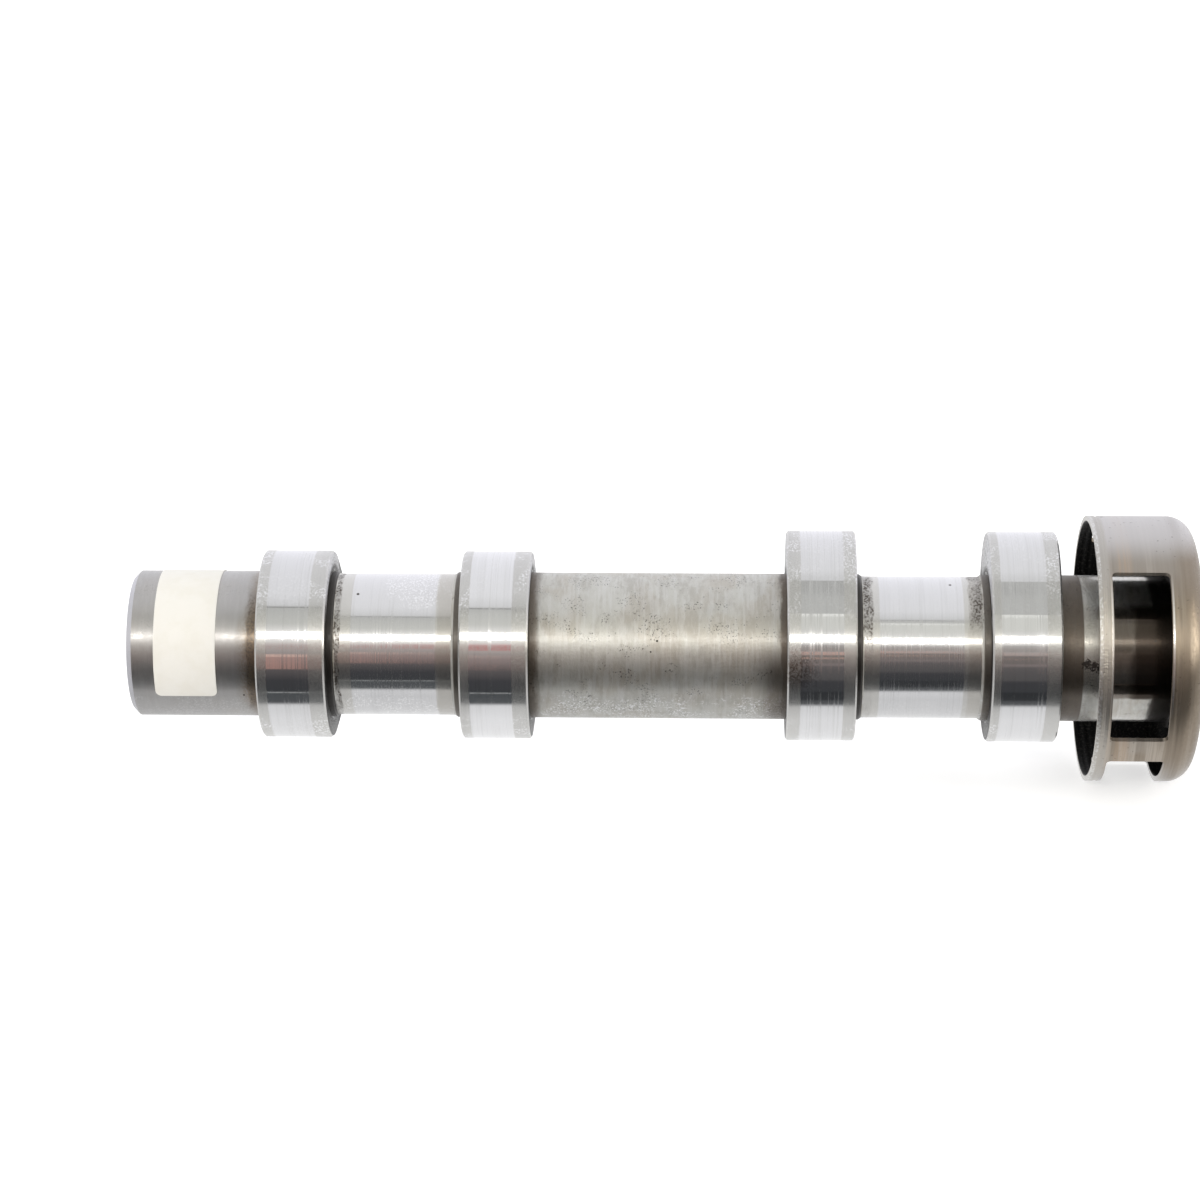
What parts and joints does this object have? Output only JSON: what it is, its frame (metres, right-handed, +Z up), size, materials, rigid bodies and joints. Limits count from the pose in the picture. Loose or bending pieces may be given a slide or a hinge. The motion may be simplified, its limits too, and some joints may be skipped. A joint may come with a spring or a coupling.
{
  "type": "camshaft",
  "caption": "Assembled camshaft: a hollow steel tube with ground bearing journals, pressed-on cam lobe rings and a stamped sender cup with windows.",
  "frame": {"origin": "on the shaft's axis, in the plane of the plain end face", "axes": "+X along the shaft towards the sender cup, +Z up as it lies, -Y towards the picture's camera"},
  "size_m": [0.1889, 0.0454, 0.0454],
  "materials": {
    "tube_steel": "drawn and turned, with ground journals",
    "lobe_steel": "ground, with a polished follower track",
    "cup_steel": "drawn sheet, heat tinted",
    "plug_steel": "drawn sheet, dull",
    "label_paper": "cream, smooth"
  },
  "bodies": {
    "root": {"shaft_tube": "tube_steel", "cam_lobe_1": "lobe_steel", "cam_lobe_2": "lobe_steel", "cam_lobe_3": "lobe_steel", "cam_lobe_4": "lobe_steel", "sender_cup": "cup_steel", "plain_end_plug": "plug_steel", "drive_end_plug": "plug_steel", "label": "label_paper"}
  },
  "joints": []
}
